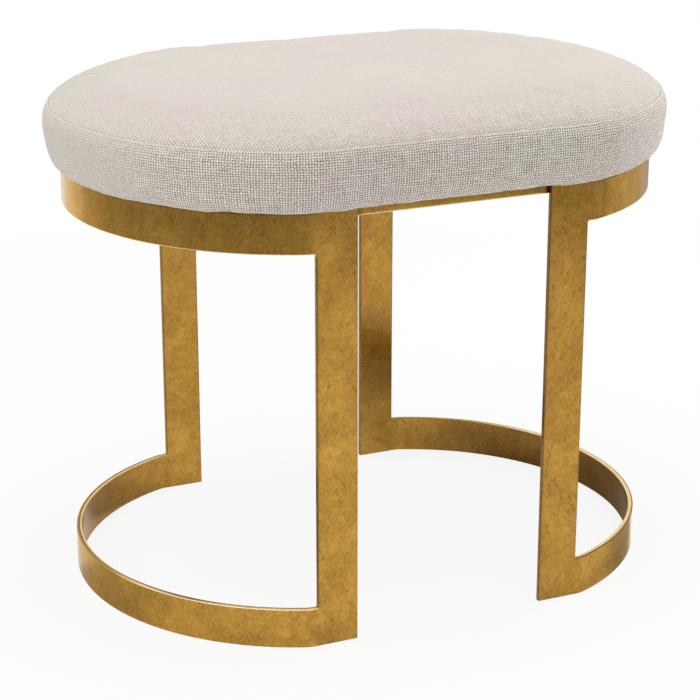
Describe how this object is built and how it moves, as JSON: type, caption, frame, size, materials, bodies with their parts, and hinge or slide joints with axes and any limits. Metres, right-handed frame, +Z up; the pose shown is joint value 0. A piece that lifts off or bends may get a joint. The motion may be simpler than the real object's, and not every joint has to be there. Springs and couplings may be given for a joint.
{
  "type": "vanity stool",
  "caption": "Low upholstered vanity stool with round ends: a crowned linen seat on two open end frames of flat gilt bar bent into arcs.",
  "frame": {"origin": "on the floor under the middle of the stool", "axes": "+X along the long side to the right, +Y from front to back, +Z up"},
  "size_m": [0.5856, 0.4336, 0.4749],
  "materials": {
    "gold_leaf": "antiqued gold leaf over steel, satin",
    "linen": "coarse plain-weave linen, ivory",
    "foam": "upholstery foam",
    "plywood": "birch plywood",
    "lining": "black non-woven lining",
    "zinc": "zinc-plated steel"
  },
  "bodies": {
    "root": {"left_top_band": "gold_leaf", "left_bottom_band": "gold_leaf", "right_top_band": "gold_leaf", "right_bottom_band": "gold_leaf", "front_left_leg": "gold_leaf", "front_right_leg": "gold_leaf", "back_left_leg": "gold_leaf", "back_right_leg": "gold_leaf", "front_rail": "gold_leaf", "back_rail": "gold_leaf", "left_seat_tab": "gold_leaf", "right_seat_tab": "gold_leaf", "seat_board": "plywood", "foam_pad": "foam", "cover_top_panel": "linen", "cover_boxing": "linen", "dust_cover": "lining", "seat_screw_front_left": "zinc", "seat_screw_front_right": "zinc", "seat_screw_back_left": "zinc", "seat_screw_back_right": "zinc", "seat_screw_left_end": "zinc", "seat_screw_right_end": "zinc", "seat_washer_front_left": "zinc", "seat_washer_front_right": "zinc", "seat_washer_back_left": "zinc", "seat_washer_back_right": "zinc", "seat_washer_left_end": "zinc", "seat_washer_right_end": "zinc", "seat_tnut_front_left": "zinc", "seat_tnut_front_right": "zinc", "seat_tnut_back_left": "zinc", "seat_tnut_back_right": "zinc", "seat_tnut_left_end": "zinc", "seat_tnut_right_end": "zinc"}
  },
  "joints": []
}
